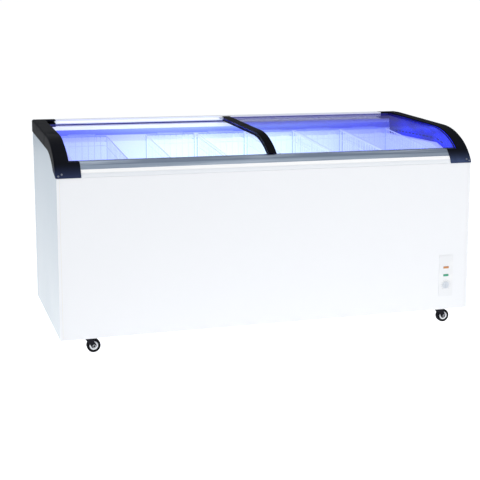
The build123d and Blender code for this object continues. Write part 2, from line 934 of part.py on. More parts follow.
make_lid("upper_lid", 1, upper_glass_depth, stile_thick)
make_lid("lower_lid", -1, lower_glass_depth, lower_stile_thick)

# Baskets

basket_y = tub_y - basket_end_gap
rear_rim = ledge_z + basket_rear_rise
front_rim_z = wall_top + basket_front_rise


def make_basket(label, centre_x):
    """Open basket with hooks on both ledges and a grip at each end."""
    low_x = centre_x - basket_width / 2
    high_x = centre_x + basket_width / 2
    with BuildPart() as basket:
        with BuildSketch(side_plane(low_x)):
            polygon((-basket_y, basket_floor), (basket_y, basket_floor),
                    (basket_y, rear_rim), (-basket_y, front_rim_z))
        extrude(amount=basket_width)
        inner_y = basket_y - basket_skin
        with BuildSketch(side_plane(low_x + basket_skin)):
            polygon((-inner_y, basket_floor + basket_skin), (inner_y, basket_floor + basket_skin),
                    (inner_y, rear_rim + through), (-inner_y, front_rim_z + through))
        extrude(amount=basket_width - 2 * basket_skin, mode=Mode.SUBTRACT)
        for hook_x in (low_x, high_x - hook_width):
            rear_z = ledge_z + hook_rest
            front_z = wall_top + hook_rest
            box_at((hook_x, basket_y - overcut, rear_z),
                   (hook_x + hook_width, basket_y + hook_reach, rear_z + hook_sheet))
            box_at((hook_x, -basket_y - hook_reach, front_z),
                   (hook_x + hook_width, overcut - basket_y, front_z + hook_sheet))
        half_grip = handle_width / 2
        box_at((centre_x - half_grip, inner_y, rear_rim - overcut),
               (centre_x + half_grip, basket_y, rear_rim + handle_rise))
        box_at((centre_x - half_grip, -basket_y, front_rim_z - overcut),
               (centre_x + half_grip, -inner_y, front_rim_z + handle_rise / 2))
    save(basket.part, label)


first_x = -tub_x + basket_side_gap + basket_width / 2
last_x = tub_x - basket_side_gap - basket_width / 2
basket_places = [first_x]
for place in range(basket_count - 1):
    basket_places.insert(1, last_x - place * basket_pitch)
for number, place in enumerate(basket_places):
    make_basket(f"basket_{number + 1}", place)

# Control group

panel_back = -skin_y + sheet

with BuildPart() as control_plate:
    with BuildSketch(Plane.XZ.offset(skin_y)):
        with Locations((control_x, control_centre_height)):
            RectangleRounded(control_width, control_height, control_corner)
        control_cutouts(plate_cutout_gap)
    extrude(amount=control_sheet)
save(control_plate.part, "control_plate")


def make_lamp(label, z):
    """Lens through the plate and the front sheet, with a flange behind."""
    half_lens = lamp_width / 2
    half_high = lamp_height / 2
    flange_x = half_lens + lamp_flange
    flange_z = half_high + lamp_flange
    with BuildPart() as lamp:
        box_at((control_x - half_lens, -half_depth, z - half_high),
               (control_x + half_lens, panel_back + lamp_tail, z + half_high))
        fillet(lamp.faces().sort_by(Axis.Y)[0].edges(), lamp_edge)
        box_at((control_x - flange_x, panel_back, z - flange_z),
               (control_x + flange_x, panel_back + lamp_flange_sheet, z + flange_z))
    save(lamp.part, label)


make_lamp("power_lamp", lamp_heights[0])
make_lamp("run_lamp", lamp_heights[1])

knob_back = -half_depth + knob_depth
body_front = knob_back + thermostat_gap
body_x, body_y, body_z = thermostat_size

with BuildPart() as thermostat_knob:
    with BuildSketch(facing_front(control_x, knob_back, knob_z)):
        Circle(knob_radius)
    extrude(amount=knob_depth)
    fillet(thermostat_knob.faces().sort_by(Axis.Y)[0].edges(), knob_edge)
    with BuildSketch(facing_front(control_x, -half_depth, knob_z)):
        Rectangle(*knob_slot)
    extrude(amount=-knob_slot_depth, mode=Mode.SUBTRACT)
    with BuildSketch(facing_front(control_x, knob_back, knob_z)):
        Circle(spindle_radius)
    extrude(amount=-spindle_length)
save(thermostat_knob.part, "thermostat_knob")

with BuildPart() as thermostat_body:
    box_at((control_x - body_x / 2, body_front, knob_z - body_z / 2),
           (control_x + body_x / 2, body_front + body_y, knob_z + body_z / 2))
    for side in (-1, 1):
        ear_x = control_x + side * (body_x / 2 - ear_overlap)
        box_at((ear_x - ear_width / 2, panel_back, knob_z - ear_height / 2),
               (ear_x + ear_width / 2, body_front + ear_overlap, knob_z + ear_height / 2))
    with BuildSketch(facing_front(control_x, body_front - overcut, knob_z)):
        Circle(spindle_radius + running_gap)
    extrude(amount=overcut - spindle_length, mode=Mode.SUBTRACT)
save(thermostat_body.part, "thermostat_body")

# Cold unit

unit_x = (machine_x + foam_x) / 2
tray_top = pan_top + tray_sheet
foot_z = tray_top + grommet_height
shell_z = foot_z + foot_sheet

with BuildPart() as machine_tray:
    box_at((unit_x - tray_length / 2, compressor_y - tray_depth / 2, pan_top),
           (unit_x + tray_length / 2, compressor_y + tray_depth / 2, tray_top))
    for side in (-1, 1):
        lip_y = compressor_y + side * (tray_depth / 2 - tray_sheet / 2)
        box_at((unit_x - tray_length / 2, lip_y - tray_sheet / 2, tray_top),
               (unit_x + tray_length / 2, lip_y + tray_sheet / 2, tray_top + tray_lip))
save(machine_tray.part, "machine_tray")

with BuildPart() as compressor_grommets:
    with Locations((unit_x, compressor_y, tray_top)):
        with GridLocations(foot_length - 2 * grommet_inset, foot_depth - 2 * grommet_inset, 2, 2):
            Cylinder(grommet_radius, grommet_height,
                     align=(Align.CENTER, Align.CENTER, Align.MIN))
    fillet(compressor_grommets.edges().group_by(Axis.Z)[-1], grommet_edge)
save(compressor_grommets.part, "compressor_grommets")

with BuildPart() as compressor:
    with BuildSketch(Plane.XY.offset(foot_z)):
        with Locations((unit_x, compressor_y)):
            RectangleRounded(foot_length, foot_depth, foot_corner)
    extrude(amount=foot_sheet)
    with Locations((unit_x, compressor_y, shell_z)):
        Cylinder(compressor_radius, compressor_height,
                 align=(Align.CENTER, Align.CENTER, Align.MIN))
    fillet(compressor.faces().sort_by(Axis.Z)[-1].edges(), compressor_radius * dome_share)
    with Locations((unit_x, compressor_y, shell_z + compressor_height * seam_share)):
        Cylinder(compressor_radius + seam_proud, seam_height)
    with Locations((unit_x - compressor_radius, compressor_y, shell_z + terminal_rise)):
        Box(*terminal_size)
    stub_z = shell_z + compressor_height - stub_drop
    with BuildSketch(Plane((unit_x, compressor_y + stub_start, stub_z), z_dir=(0, 1, 0))):
        with Locations((-stub_pitch, 0), (0, 0), (stub_pitch, 0)):
            Circle(tube_radius)
    extrude(amount=stub_length)
save(compressor.part, "compressor")

with BuildPart() as relay_box:
    relay_high_x = unit_x - compressor_radius - relay_gap
    relay_z = shell_z + relay_rise
    box_at((relay_high_x - relay_size[0], compressor_y - relay_size[1] / 2, relay_z),
           (relay_high_x, compressor_y + relay_size[1] / 2, relay_z + relay_size[2]))
    fillet(relay_box.edges().filter_by(Axis.Z), relay_corner)
save(relay_box.part, "relay_box")

with BuildPart() as filter_drier:
    drier_x = machine_x + drier_place[0]
    with Locations((drier_x, compressor_y + drier_place[1], pan_top + drier_rise)):
        Cylinder(drier_radius, drier_length, align=(Align.CENTER, Align.CENTER, Align.MIN))
    fillet(filter_drier.edges(), drier_round)
save(filter_drier.part, "filter_drier")

with BuildPart() as condenser:
    fin_pitch = (condenser_length - 2 * fin_sheet) / (fin_count - 1)
    with Locations((unit_x, condenser_y, pan_top + condenser_height / 2)):
        with GridLocations(fin_pitch, 1, fin_count, 1):
            Box(fin_sheet, condenser_thick, condenser_height)
    with BuildSketch(side_plane(unit_x - condenser_length / 2)):
        with Locations((condenser_y, pan_top + condenser_height / 2)):
            with GridLocations(condenser_thick / tube_columns,
                               condenser_height / (tube_rows + 1), tube_columns, tube_rows):
                Circle(tube_radius)
    extrude(amount=condenser_length)
save(condenser.part, "condenser")

fan_z = pan_top + fan_shroud / 2
motor_front_y = fan_plane_y - hub_length - motor_gap - motor_length
fan_plane = Plane((unit_x, fan_plane_y, fan_z), x_dir=(1, 0, 0), z_dir=(0, -1, 0))

with BuildPart() as fan_motor:
    with BuildSketch(fan_plane):
        RectangleRounded(fan_shroud, fan_shroud, shroud_corner)
        Circle(fan_radius + shroud_margin, mode=Mode.SUBTRACT)
    extrude(amount=shroud_sheet)
    arm_run = fan_plane_y - motor_front_y
    with BuildSketch(fan_plane):
        with PolarLocations(fan_radius + arm_reach, arm_count):
            Rectangle(*arm_size)
    extrude(amount=arm_run)
    cross_length = 2 * (fan_radius + arm_reach) + arm_size[0]
    with BuildSketch(fan_plane.offset(arm_run)):
        Rectangle(cross_length, arm_size[1])
        Rectangle(arm_size[1], cross_length)
    extrude(amount=-arm_sheet)
    with BuildSketch(fan_plane.offset(arm_run)):
        Circle(motor_radius)
    extrude(amount=-motor_length)
    with BuildSketch(fan_plane.offset(arm_run)):
        Circle(shaft_radius)
    extrude(amount=fan_offset - arm_run)
save(fan_motor.part, "fan_motor")

with BuildPart(fan_plane.offset(fan_offset)) as fan_blade:
    Cylinder(hub_radius, hub_length, align=(Align.CENTER, Align.CENTER, Align.MIN))
    blade_span = fan_radius - hub_radius + blade_root
    with Locations((0, 0, hub_length / 2)):
        with PolarLocations(hub_radius - blade_root + blade_span / 2, blade_count):
            Box(blade_span, blade_chord, blade_sheet, rotation=(blade_pitch, 0, 0))
    Cylinder(shaft_radius + running_gap, 4 * hub_length, mode=Mode.SUBTRACT)
save(fan_blade.part, "fan_blade")

# Casters

plate_low = pan_bottom - caster_plate_sheet
fork_under = fork_top - fork_sheet
pin_low = fork_under - race_gap - collar_sheet


def caster_corners():
    """Swivel axes, front left first."""
    reach_x = half_width - caster_inset_x
    reach_y = half_depth - caster_inset_y
    return (("front_left", -reach_x, -reach_y), ("front_right", reach_x, -reach_y),
            ("rear_left", -reach_x, reach_y), ("rear_right", reach_x, reach_y))


def make_fork(label, x, y):
    """Swivel fork with its riveted axle."""
    leg_y = wheel_width / 2 + leg_gap
    with BuildPart() as fork:
        with BuildSketch(Plane.XY.offset(fork_under)):
            with Locations((x, y)):
                Circle(fork_radius)
        extrude(amount=fork_sheet)
        for low_y in (y - leg_y - fork_sheet, y + leg_y):
            with BuildSketch(Plane.XZ.offset(-low_y)):
                with Locations((x - leg_shift, fork_top - fork_sheet / 2)):
                    Rectangle(leg_top, fork_sheet)
                with Locations((x + caster_trail, wheel_radius)):
                    Circle(2 * axle_radius)
                make_hull()
            extrude(amount=-fork_sheet)
        with BuildSketch(Plane.XZ.offset(-y)):
            with Locations((x + caster_trail, wheel_radius)):
                Circle(axle_radius)
        extrude(amount=leg_y + fork_sheet + rivet_proud, both=True)
        with BuildSketch(Plane.XY.offset(fork_under - overcut)):
            with Locations((x, y)):
                Circle(pin_radius + running_gap)
        extrude(amount=fork_sheet + 2 * overcut, mode=Mode.SUBTRACT)
    save(fork.part, label)


def make_wheel(label, x, y):
    """Wheel with a dished hub, bored for the axle."""
    half_tread = wheel_width / 2
    with BuildPart() as wheel:
        with BuildSketch(Plane.XZ.offset(-y)):
            with Locations((x + caster_trail, wheel_radius)):
                Circle(wheel_radius)
        extrude(amount=half_tread, both=True)
        fillet(wheel.edges().filter_by(GeomType.CIRCLE), tread_round)
        for side in (-1, 1):
            with BuildSketch(Plane.XZ.offset(-y + side * half_tread)):
                with Locations((x + caster_trail, wheel_radius)):
                    Circle(wheel_radius * dish_outer)
                    Circle(wheel_radius * dish_inner, mode=Mode.SUBTRACT)
            extrude(amount=-side * dish_depth, mode=Mode.SUBTRACT)
        with BuildSketch(Plane.XZ.offset(-y)):
            with Locations((x + caster_trail, wheel_radius)):
                Circle(axle_radius + running_gap)
        extrude(amount=wheel_width, both=True, mode=Mode.SUBTRACT)
    save(wheel.part, label)


for corner, pin_x, pin_y in caster_corners():
    make_fork(f"{corner}_fork", pin_x, pin_y)
    make_wheel(f"{corner}_wheel", pin_x, pin_y)

with BuildPart() as caster_plates:
    spots = [(pin_x, pin_y) for _, pin_x, pin_y in caster_corners()]
    with BuildSketch(Plane.XY.offset(plate_low)):
        with Locations(*spots):
            RectangleRounded(caster_plate_size, caster_plate_size, caster_plate_corner)
    extrude(amount=caster_plate_sheet)
    for low, high, radius in (
        (fork_top + race_gap, plate_low, fork_radius),
        (pin_low, plate_low, pin_radius),
        (pin_low, pin_low + collar_sheet, collar_share * pin_radius),
    ):
        with BuildSketch(Plane.XY.offset(low)):
            with Locations(*spots):
                Circle(radius)
        extrude(amount=high - low)
save(caster_plates.part, "caster_plates")

print(f"height {height:.2f}, tub floor {tub_floor:.1f}, baskets at {basket_places}")
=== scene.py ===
import math

import bmesh
import bpy
from mathutils import Matrix, Vector


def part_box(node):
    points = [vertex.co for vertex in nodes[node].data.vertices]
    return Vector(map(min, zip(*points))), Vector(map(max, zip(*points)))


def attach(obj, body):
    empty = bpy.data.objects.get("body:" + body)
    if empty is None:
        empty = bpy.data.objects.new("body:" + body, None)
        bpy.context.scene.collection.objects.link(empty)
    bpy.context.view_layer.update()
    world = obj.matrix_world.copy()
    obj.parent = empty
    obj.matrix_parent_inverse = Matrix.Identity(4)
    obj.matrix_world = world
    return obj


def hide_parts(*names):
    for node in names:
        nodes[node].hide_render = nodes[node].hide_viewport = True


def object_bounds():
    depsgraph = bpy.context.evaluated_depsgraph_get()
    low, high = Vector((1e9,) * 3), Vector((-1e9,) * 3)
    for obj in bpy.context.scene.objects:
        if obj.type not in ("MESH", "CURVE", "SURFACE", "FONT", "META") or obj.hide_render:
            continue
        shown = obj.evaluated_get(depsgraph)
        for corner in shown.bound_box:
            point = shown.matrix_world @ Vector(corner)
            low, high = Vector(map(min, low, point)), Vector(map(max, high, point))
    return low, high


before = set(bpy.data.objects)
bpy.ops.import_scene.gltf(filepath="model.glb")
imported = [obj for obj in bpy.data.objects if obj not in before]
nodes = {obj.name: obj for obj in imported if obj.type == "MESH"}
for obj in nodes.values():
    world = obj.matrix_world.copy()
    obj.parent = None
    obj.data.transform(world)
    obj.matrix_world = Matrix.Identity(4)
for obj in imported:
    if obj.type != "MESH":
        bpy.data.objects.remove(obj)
cadLow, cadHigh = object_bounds()
corners = ["front_left", "front_right", "rear_left", "rear_right"]
basketNames = [f"basket_{number}" for number in range(1, 7)]
print("frame loaded,", len(nodes), "nodes")


# Shader helpers

class Amount:
    # a number socket that takes part in sums
    def __init__(self, finish, socket):
        self.finish, self.socket = finish, socket

    def sumOf(self, operation, *terms):
        made = self.finish.node("ShaderNodeMath", {"operation": operation}, dict(enumerate(terms)))
        return Amount(self.finish, made.outputs[0])

    def __add__(self, other):
        return self.sumOf("ADD", self, other)

    def __sub__(self, other):
        return self.sumOf("SUBTRACT", self, other)

    def __rsub__(self, other):
        return self.sumOf("SUBTRACT", other, self)

    def __mul__(self, other):
        return self.sumOf("MULTIPLY", self, other)

    def __abs__(self):
        return self.sumOf("ABSOLUTE", self)

    __radd__ = __add__
    __rmul__ = __mul__

    def least(self, other):
        return self.sumOf("MINIMUM", self, other)

    def between(self, low, high):  # 0 below low, 1 above high, smooth between
        settings = {"interpolation_type": "SMOOTHSTEP"}
        inputs = {"Value": self, "From Min": low, "From Max": high}
        return Amount(self.finish, self.finish.node("ShaderNodeMapRange", settings, inputs).outputs[0])


class Finish:
    # one material, its shader and short ways to build what feeds it
    def __init__(self, name):
        self.material = bpy.data.materials.new(name)
        self.material.use_nodes = True
        self.tree = self.material.node_tree
        self.shader = self.tree.nodes["Principled BSDF"]
        self.coordinates = None

    def node(self, kind, settings, inputs):
        made = self.tree.nodes.new(kind)
        for name, value in settings.items():
            setattr(made, name, value)
        for name, value in inputs.items():
            self.feed(made.inputs[name], value)
        return made

    def feed(self, socket, value):
        if isinstance(value, Amount):
            value = value.socket
        if isinstance(value, bpy.types.NodeSocket):
            self.tree.links.new(value, socket)
        elif socket.type == "RGBA":
            socket.default_value = (*value[:3], 1)
        else:
            socket.default_value = value

    def looks(self, **inputs):  # underscores stand for the spaces of the shader's socket names
        for name, value in inputs.items():
            self.feed(self.shader.inputs[name.replace("_", " ")], value)
        return self

    def place(self, stretch=(1, 1, 1)):
        if self.coordinates is None:
            self.coordinates = self.node("ShaderNodeTexCoord", {}, {}).outputs["Object"]
        if stretch == (1, 1, 1):
            return self.coordinates
        inputs = {"Vector": self.coordinates, "Scale": stretch}
        return self.node("ShaderNodeMapping", {}, inputs).outputs[0]

    def along(self, axis):
        split = self.node("ShaderNodeSeparateXYZ", {}, {"Vector": self.place()})
        return Amount(self, split.outputs[axis])

    def noise(self, scale, detail=2, stretch=(1, 1, 1)):
        inputs = {"Vector": self.place(stretch), "Scale": scale, "Detail": detail}
        return Amount(self, self.node("ShaderNodeTexNoise", {}, inputs).outputs["Fac"])

    def mix(self, low, high, mask):
        inputs = {0: mask, 6: low, 7: high}
        settings = {"data_type": "RGBA", "clamp_factor": True}
        return self.node("ShaderNodeMix", settings, inputs).outputs[2]

    def bump(self, height, strength, distance):
        inputs = {"Height": height, "Strength": strength, "Distance": distance}
        return self.node("ShaderNodeBump", {}, inputs).outputs[0]


def dress(finish, *names):
    # gives whole CAD nodes one finish
    for name in names:
        for held in nodes[name].material_slots:
            held.material = finish.material


# Finishes

# the front's lower tone is painted shade
sheetLook = {"white": (0.9, 0.915, 0.945), "whiteShadedLow": (0.845, 0.86, 0.89),
             "side": (0.535, 0.635, 0.73), "sideShadedLow": (0.74, 0.81, 0.87),
             "lowTo": 0.06, "highFrom": 0.62, "frontFrom": 0.0035, "frontTo": 0.0045, "cloudShade": 0.975,
             "peelScale": 420, "peelDepth": 0.00012}


def paintedSheet(name, colour, lowColour):
    # powder coat on sheet steel: orange peel, faint clouding, another tone towards the floor,
    # painted shade on the front; whatever faces the front, with the side sheets' folds, is plain white
    paint = Finish(name)
    up = paint.along("Z").between(cadLow.z + sheetLook["lowTo"], cadLow.z + sheetLook["highFrom"])
    behind = paint.along("Y").between(cadLow.y + sheetLook["frontFrom"], cadLow.y + sheetLook["frontTo"])
    cloud = paint.noise(3.5, 3) * 0.5 + paint.noise(0.9, 1) * 0.5
    base = paint.mix(lowColour, colour, up)
    shade = tuple(c * sheetLook["cloudShade"] for c in colour)
    base = paint.mix(base, shade, cloud.between(0.35, 0.75) * 0.5)
    base = paint.mix(base, sheetLook["white"], 1 - behind)
    peel = paint.noise(sheetLook["peelScale"], 2)
    return paint.looks(Base_Color=base, Roughness=0.34 + 0.1 * cloud, Specular_IOR_Level=0.4,
                       Coat_Weight=0.15, Coat_Roughness=0.2,
                       Normal=paint.bump(peel, 0.12, sheetLook["peelDepth"]))


tubLook = {"middle": (0.81, 0.93, 0.99), "end": (0.43, 0.49, 1.0), "cloud": (0.8, 0.86, 1.0),
           "glow": 0.54, "from": 0.1, "to": 0.8}


def tubPaintedLight(name):
    # white sheet with painted light: it glows by emission, cyan white in the middle, light blue towards the
    # ends
    paint = Finish(name)
    out = abs(paint.along("X")).between(tubLook["from"], tubLook["to"])
    cloud = paint.noise(4, 3)
    base = paint.mix(tubLook["middle"], tubLook["end"], out)
    base = paint.mix(base, tubLook["cloud"], cloud.between(0.5, 0.8) * 0.25)
    fine = paint.noise(260, 2)
    return paint.looks(Base_Color=base, Emission_Color=base, Emission_Strength=tubLook["glow"],
                       Roughness=0.35 + 0.1 * fine, Normal=paint.bump(fine, 0.08, 0.0002))


def tubLightTone(x):
    # the tub's painted light colour at a place along its length
    share = min(1, max(0, (abs(x) - tubLook["from"]) / (tubLook["to"] - tubLook["from"])))
    share = share * share * (3 - 2 * share)
    return tuple(m + (e - m) * share for m, e in zip(tubLook["middle"], tubLook["end"]))


def mouldedPlastic(name, colour, grain=900, rough=0.42, level=0.3, worn=0.02):
    # fine moulded grain, with slightly lighter rubbed patches
    plastic = Finish(name)
    spark = plastic.noise(grain, 3)
    rub = plastic.noise(9, 3).between(0.5, 0.72)
    lighter = tuple(min(1, c * 1.25 + worn) for c in colour)
    return plastic.looks(Base_Color=plastic.mix(colour, lighter, rub * 0.5),
                         Roughness=rough + 0.12 * rub, Specular_IOR_Level=level,
                         Normal=plastic.bump(spark, 0.18, 0.00015))


def brushedMetal(name, colour, grainAlong, rough=0.3, metallic=1.0, deep=0.1):
    # drawn or rolled metal: long streaks along one axis
    metal = Finish(name)
    stretch = tuple(1.2 if axis == grainAlong else 420 for axis in "XYZ")
    streak = metal.noise(1.0, 3, stretch)
    wide = metal.noise(6, 2)
    dark = tuple(c * 0.82 for c in colour)
    mask = streak.between(0.3, 0.7) * 0.6 + wide * 0.2
    return metal.looks(Base_Color=metal.mix(colour, dark, mask), Metallic=metallic,
                       Roughness=rough + 0.16 * streak,
                       Normal=metal.bump(streak, deep, 0.00008))


frameLook = {"black": (0.005, 0.006, 0.011), "leftFoot": (0.045, 0.065, 0.165),
             "rightFoot": (0.075, 0.11, 0.24), "footTop": 0.1, "footLow": 0.16, "change": 0.1}


def frameFinish(name):
    # fine moulded grain, cooler and lighter where the foot blocks catch the floor's light
    plastic = Finish(name)
    spark = plastic.noise(900, 3)
    rub = plastic.noise(9, 3).between(0.5, 0.72)
    down = 1 - plastic.along("Z").between(cadHigh.z - frameLook["footLow"], cadHigh.z - frameLook["footTop"])
    right = plastic.along("X").between(-frameLook["change"], frameLook["change"])
    foot = plastic.mix(frameLook["leftFoot"], frameLook["rightFoot"], right)
    tone = plastic.mix(frameLook["black"], foot, down * (0.6 + 0.4 * rub))
    return plastic.looks(Base_Color=tone, Roughness=0.52 + 0.1 * rub, Specular_IOR_Level=0.05,
                         Normal=plastic.bump(spark, 0.18, 0.00015))


trimLook = {"bright": (0.012, 0.02, 0.8), "deep": (0.008, 0.002, 0.08), "streak": (0.006, 0.003, 0.28),
            "glow": 0.55, "darkFrom": 0.1, "darkTo": 0.27, "streaked": 0.9, "darkened": 0.85}


def litTrim(name):
    # translucent deep blue; its bright blue and glow are painted light from below, darker at the rear and in
    # soft cloudy streaks
    trim = Finish(name)
    rear = trim.along("Y").between(trimLook["darkFrom"], trimLook["darkTo"])
    streak = trim.noise(5, 3, (1, 1.2, 4.5)).between(0.4, 0.7)
    colour = trim.mix(trimLook["bright"], trimLook["streak"], streak * trimLook["streaked"])
    colour = trim.mix(colour, trimLook["deep"], rear * trimLook["darkened"])
    fine = trim.noise(700, 2)
    return trim.looks(Base_Color=colour, Emission_Color=colour, Emission_Strength=trimLook["glow"],
                      Specular_IOR_Level=0.15, Roughness=0.3 + 0.1 * fine,
                      Normal=trim.bump(fine, 0.1, 0.0001))


# the blue is a painted reflection on the glass, the edge tone a painted shadow along its rear
glassLook = {"clear": (0.55, 0.68, 1.0), "blue": (0.06, 0.08, 0.95), "edge": (0.03, 0.02, 0.5),
             "blueFrom": -0.2, "blueTo": -0.04, "edgeFrom": 0.0, "edgeTo": 0.2, "blueShare": 0.6,
             "upper": {"thin": 0.05, "reflectionAlpha": 0.5}, "lower": {"thin": 0.03, "reflectionAlpha": 0.1}}


def lidGlass(name, thin, reflectionAlpha):
    # tempered glass: nearly clear at the front; the blue towards its rear is a painted reflection of the lit
    # trims, the violet at its rear edge a painted shadow; faint wipe marks
    glass = Finish(name)
    back = glass.along("Y")
    blue = back.between(glassLook["blueFrom"], glassLook["blueTo"])
    edge = back.between(glassLook["edgeFrom"], glassLook["edgeTo"])
    wipe = glass.noise(2.2, 4, (1, 2.5, 1)).between(0.45, 0.8)
    tone = glass.mix(glassLook["clear"], glassLook["blue"], blue)
    reflectionShare = blue * glassLook["blueShare"] + edge * (1 - glassLook["blueShare"])
    return glass.looks(Base_Color=glass.mix(tone, glassLook["edge"], edge), Alpha=thin + reflectionAlpha * reflectionShare,
                       Roughness=0.02 + 0.05 * wipe, Specular_IOR_Level=0.08)


rimLook = {"shaded": (0.86, 0.885, 0.92), "lit": (0.97, 0.975, 0.985), "shadedGlow": (0.07, 0.075, 0.085),
           "litGlow": (0.2, 0.2, 0.2), "litFrom": 0.013, "litTo": 0.009}


def rimFinish(name):
    # white moulding: its upper edge glows with the tub's light, the rest is a little shaded
    plastic = Finish(name)
    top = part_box("front_rim")[1].z
    lit = plastic.along("Z").between(top - rimLook["litFrom"], top - rimLook["litTo"])
    fine = plastic.noise(700, 3)
    tone = plastic.mix(rimLook["shaded"], rimLook["lit"], lit)
    glow = plastic.mix(rimLook["shadedGlow"], rimLook["litGlow"], lit)
    return plastic.looks(Base_Color=tone, Emission_Color=glow, Emission_Strength=1.0, Roughness=0.34,
                         Specular_IOR_Level=0.3, Normal=plastic.bump(fine, 0.15, 0.00012))


railLook = {"low": (0.33, 0.4, 0.5), "high": (0.2, 0.25, 0.33), "streak": (0.62, 0.7, 0.8),
            "split": 0.012, "soft": 0.002}


def railFinish(name):
    # satin aluminium section: darker upper face, paler lip below, long pale streaks
    metal = Finish(name)
    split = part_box("front_rail")[1].z - railLook["split"]
    up = metal.along("Z").between(split - railLook["soft"], split + railLook["soft"])
    fine = metal.noise(1.0, 3, (1.2, 420, 420))
    wide = metal.noise(1.0, 3, (2.4, 60, 60)).between(0.45, 0.72)
    tone = metal.mix(railLook["low"], railLook["high"], up)
    tone = metal.mix(tone, railLook["streak"], wide * 0.7)
    return metal.looks(Base_Color=tone, Metallic=0.7, Roughness=0.38 + 0.16 * fine,
                       Normal=metal.bump(fine, 0.1, 0.00008))


def rubberFinish(name, colour):
    rubber = Finish(name)
    grain = rubber.noise(600, 3)
    dust = rubber.noise(14, 3).between(0.5, 0.75)
    dusty = tuple(c + 0.012 for c in colour)
    return rubber.looks(Base_Color=rubber.mix(colour, dusty, dust), Roughness=0.62 + 0.15 * grain,
                        Specular_IOR_Level=0.12, Normal=rubber.bump(grain, 0.25, 0.0002))


def lensFinish(name, colour, glow):
    # ribbed tinted lens over a lamp
    lens = Finish(name)
    rib = lens.node("ShaderNodeTexWave", {"bands_direction": "X"}, {"Vector": lens.place(), "Scale": 160})
    rib = Amount(lens, rib.outputs["Fac"])
    pale = tuple(min(1, c * 0.7 + 0.2) for c in colour)
    tone = lens.mix(colour, pale, rib * 0.35)
    return lens.looks(Base_Color=tone, Emission_Color=tone, Emission_Strength=glow, Roughness=0.22,
                      Normal=lens.bump(rib, 0.4, 0.0004))


foamLook = {"cell": (0.82, 0.72, 0.45), "wall": (0.9, 0.83, 0.6)}


def foamFinish(name):
    foam = Finish(name)
    cell = foam.noise(220, 4)
    return foam.looks(Base_Color=foam.mix(foamLook["cell"], foamLook["wall"], cell), Roughness=0.9,
                      Normal=foam.bump(cell, 0.6, 0.001))


copperLook = {"clean": (0.78, 0.36, 0.2), "tarnished": (0.28, 0.14, 0.08)}


def copperFinish(name):
    copper = Finish(name)
    tarnish = copper.noise(40, 4).between(0.45, 0.8)
    return copper.looks(Base_Color=copper.mix(copperLook["clean"], copperLook["tarnished"], tarnish),
                        Metallic=1.0, Roughness=0.28 + 0.3 * tarnish)


whiteSheet = paintedSheet("whiteSheet", sheetLook["white"], sheetLook["whiteShadedLow"])
# the side sheets' bluish grey, lighter towards the floor, is painted shade on white paint
shadedSideSheet = paintedSheet("shadedSideSheet", sheetLook["side"], sheetLook["sideShadedLow"])
rimWhite = mouldedPlastic("rimWhite", (0.95, 0.955, 0.97), 700, 0.3, 0.3, 0.0)
rimTop = rimFinish("rimTop")
frameBlack = frameFinish("frameBlack")
lidBlack = mouldedPlastic("lidBlack", (0.001, 0.001, 0.003), 900, 0.42, 0.05, 0.001)
runnerBlue = mouldedPlastic("runnerBlue", (0.02, 0.025, 0.2), 600, 0.4, 0.1, 0.0)
runnerBlue.looks(Emission_Color=(0.1, 0.11, 0.5), Emission_Strength=0.35)  # lit by the strip behind it
railMetal = railFinish("railMetal")
rearRailMetal = brushedMetal("rearRailMetal", (0.93, 0.945, 0.97), "X", 0.42, 0.1)
rearRailMetal.looks(Emission_Color=(0.9, 0.93, 1.0), Emission_Strength=0.28)  # lit by the strip below it
tubSheet = tubPaintedLight("tubSheet")
trimBlue = litTrim("trimBlue")
upperGlass = lidGlass("upperGlass", **glassLook["upper"])
lowerGlass = lidGlass("lowerGlass", **glassLook["lower"])
sealRubber = rubberFinish("sealRubber", (0.02, 0.02, 0.03))
wheelRubber = rubberFinish("wheelRubber", (0.004, 0.004, 0.007))
casterBlack = mouldedPlastic("casterBlack", (0.004, 0.004, 0.009), 500, 0.4, 0.15, 0.004)
hubGrey = mouldedPlastic("hubGrey", (0.8, 0.82, 0.86), 600, 0.4, 0.4, 0.0)
screwSteel = brushedMetal("screwSteel", (0.2, 0.22, 0.28), "X", 0.35)
zincSheet = brushedMetal("zincSheet", (0.6, 0.62, 0.65), "Y", 0.35)
controlWhite = mouldedPlastic("controlWhite", (0.86, 0.875, 0.9), 700, 0.4, 0.35, 0.0)
knobGrey = mouldedPlastic("knobGrey", (0.66, 0.7, 0.76), 600, 0.4, 0.4, 0.0)
caseBlack = mouldedPlastic("caseBlack", (0.04, 0.04, 0.045), 500, 0.5)
grilleGrey = mouldedPlastic("grilleGrey", (0.6, 0.64, 0.68), 600, 0.45, 0.35, 0.0)
shellBlack = mouldedPlastic("shellBlack", (0.012, 0.012, 0.013), 300, 0.3, 0.5, 0.01)
motorSteel = brushedMetal("motorSteel", (0.3, 0.31, 0.33), "Y", 0.4)
finMetal = brushedMetal("finMetal", (0.72, 0.73, 0.75), "Z", 0.3)
bladeGrey = mouldedPlastic("bladeGrey", (0.6, 0.62, 0.65), 600, 0.45)
copperPipe = copperFinish("copperPipe")
foamYellow = foamFinish("foamYellow")
lampOrange = lensFinish("lampOrange", (0.55, 0.22, 0.06), 0.12)
lampGreen = lensFinish("lampGreen", (0.01, 0.32, 0.17), 0.12)


upstandLook = {"pale": (0.42, 0.53, 0.97), "blue": (0.24, 0.31, 0.95), "deep": (0.12, 0.15, 0.9),
               "glow": 0.4, "outFrom": 0.25, "outTo": 0.76, "belowBasket": 0.009, "fade": 0.024,
               "edgeFrom": 0.003, "edgeTo": 0.001}


